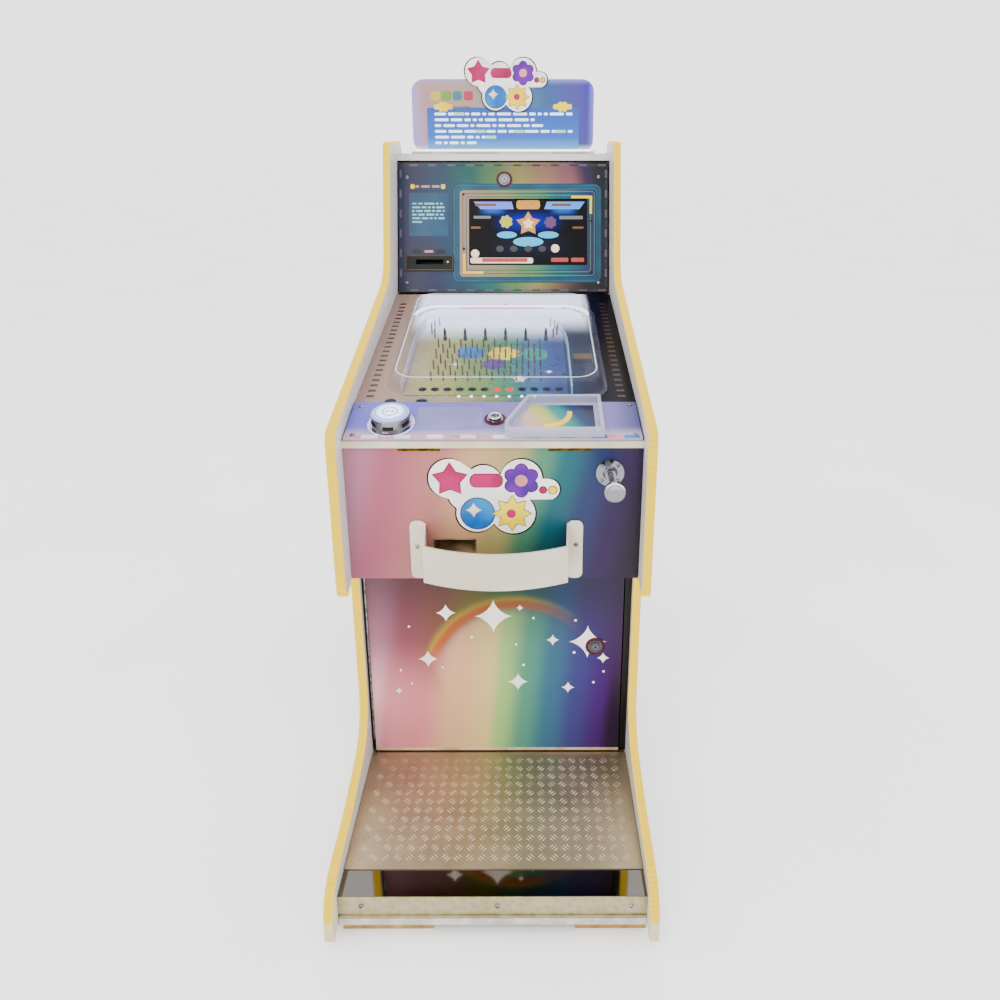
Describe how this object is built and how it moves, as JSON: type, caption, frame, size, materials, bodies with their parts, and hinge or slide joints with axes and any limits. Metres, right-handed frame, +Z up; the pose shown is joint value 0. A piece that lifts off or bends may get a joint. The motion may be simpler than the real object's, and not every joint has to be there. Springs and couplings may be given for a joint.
{
  "type": "marble pinball arcade machine",
  "caption": "Narrow upright marble pinball machine: a sloping pin playfield under a clear cover, a start button console, a tilted screen header, a lit marquee and a metal step platform.",
  "frame": {"origin": "centre of the footprint's bounding box, on the floor", "axes": "+X to the player's right when facing the machine, +Y from the front to the back, +Z up"},
  "size_m": [0.65, 1.35, 1.7312],
  "materials": {
    "white_laminate": "white satin laminate on board",
    "lit_edge": "warm light strip under a milky cover",
    "door_print": "gloss colour print on board",
    "front_print": "gloss colour print on board",
    "console_print": "gloss pearl print on board",
    "playfield_print": "gloss colour print on board",
    "header_print": "gloss colour print on board",
    "plywood": "bare wood",
    "black_edge": "black laminate on board",
    "galvanised": "galvanised sheet",
    "checker": "bright checker plate",
    "steel": "satin",
    "brass": "satin",
    "chrome": "polished",
    "white_plastic": "moulded, satin",
    "black_plastic": "moulded, satin",
    "bezel": "gloss",
    "screen": "lit display behind a clear front",
    "clear_plastic": "clear",
    "button_glow": "frosted, lit from inside",
    "pin_plate": "printed plate with bright pins",
    "marquee_glow": "edge-lit acrylic",
    "sign": "gloss print",
    "inner_box": "plain",
    "circuit": "solder mask"
  },
  "bodies": {
    "cabinet": {"side_panel_left": "white_laminate", "side_panel_right": "white_laminate", "led_strip_left": "lit_edge", "led_strip_right": "lit_edge", "back_panel": "plywood", "floor_board": "plywood", "hopper_shelf": "plywood", "header_top_board": "white_laminate", "header_rail": "black_edge", "box_bottom_board": "plywood", "front_panel": "front_print", "skid_left": "plywood", "skid_right": "plywood", "platform_tray": "galvanised", "checker_plate": "checker", "door_stile_left": "black_edge", "door_stile_right": "black_edge", "door_hinge_fixed_leaf": "steel", "catch_tray": "white_plastic", "shooter_housing": "chrome", "shooter_spring": "steel", "outlet_chute": "white_plastic", "console_hinge_left_fixed": "brass", "console_hinge_right_fixed": "brass", "playfield_board": "playfield_print", "pin_plate": "pin_plate", "launch_lane_rail": "clear_plastic", "guide_rail": "clear_plastic", "dome_cover": "clear_plastic", "marquee_channel": "white_plastic", "marquee_panel": "marquee_glow", "marquee_sign": "sign", "return_trough": "black_plastic", "launch_chute": "black_plastic", "ball_hopper": "white_plastic", "power_supply": "inner_box", "control_board": "circuit", "speaker": "black_plastic", "power_inlet": "black_plastic"},
    "service_door": {"service_door": "door_print", "door_hinge_moving_leaf": "steel", "door_lock_body": "chrome"},
    "door_lock_cam": {"door_lock_barrel": "chrome"},
    "console_lid": {"console_plate": "console_print", "front_trim": "white_laminate", "console_hinge_left_moving": "brass", "console_hinge_right_moving": "brass", "start_button_housing": "chrome", "marble_tray": "clear_plastic", "console_lock_body": "chrome"},
    "console_lock_cam": {"console_lock_barrel": "chrome"},
    "start_button": {"start_button_cap": "button_glow"},
    "header_door": {"header_panel": "header_print", "screen_bezel": "bezel", "display": "screen", "card_reader": "black_plastic", "header_lock_body": "chrome"},
    "header_lock_cam": {"header_lock_barrel": "chrome"},
    "shooter": {"shooter_rod": "steel", "shooter_knob": "chrome"}
  },
  "joints": [
    {"name": "service_door_hinge", "type": "hinge", "parent": "cabinet", "child": "service_door", "pos_m": [-0.29975, -0.2395, 0.13], "axis": [0, 0, -1], "range_deg": [0, 90]},
    {"name": "door_lock_turn", "type": "hinge", "parent": "service_door", "child": "door_lock_cam", "pos_m": [0.227, -0.237, 0.387], "axis": [0, -1, 0], "range_deg": [0, 90]},
    {"name": "console_lid_hinge", "type": "hinge", "parent": "cabinet", "child": "console_lid", "pos_m": [0, -0.3273, 0.9155], "axis": [1, 0, 0], "range_deg": [0, 90]},
    {"name": "console_lock_turn", "type": "hinge", "parent": "console_lid", "child": "console_lock_cam", "pos_m": [0.002, -0.26114, 0.9548], "axis": [0, -0.2436, 0.9699], "range_deg": [0, 90]},
    {"name": "start_button_press", "type": "slide", "parent": "console_lid", "child": "start_button", "axis": [0, 0.2436, -0.9699], "range_m": [0, 0.004], "stiffness_N_per_m": 600, "springref_m": -0.004},
    {"name": "header_door_hinge", "type": "hinge", "parent": "cabinet", "child": "header_door", "pos_m": [0, 0.471, 1.087], "axis": [1, 0, 0], "range_deg": [0, 60]},
    {"name": "header_lock_turn", "type": "hinge", "parent": "header_door", "child": "header_lock_cam", "pos_m": [0.003, 0.56058, 1.39941], "axis": [0, -0.9613, 0.2756], "range_deg": [0, 90]},
    {"name": "shooter_pull", "type": "slide", "parent": "cabinet", "child": "shooter", "axis": [0, -1, 0], "range_m": [0, 0.04], "stiffness_N_per_m": 200, "springref_m": -0.01, "deforming": ["shooter_spring"]}
  ]
}
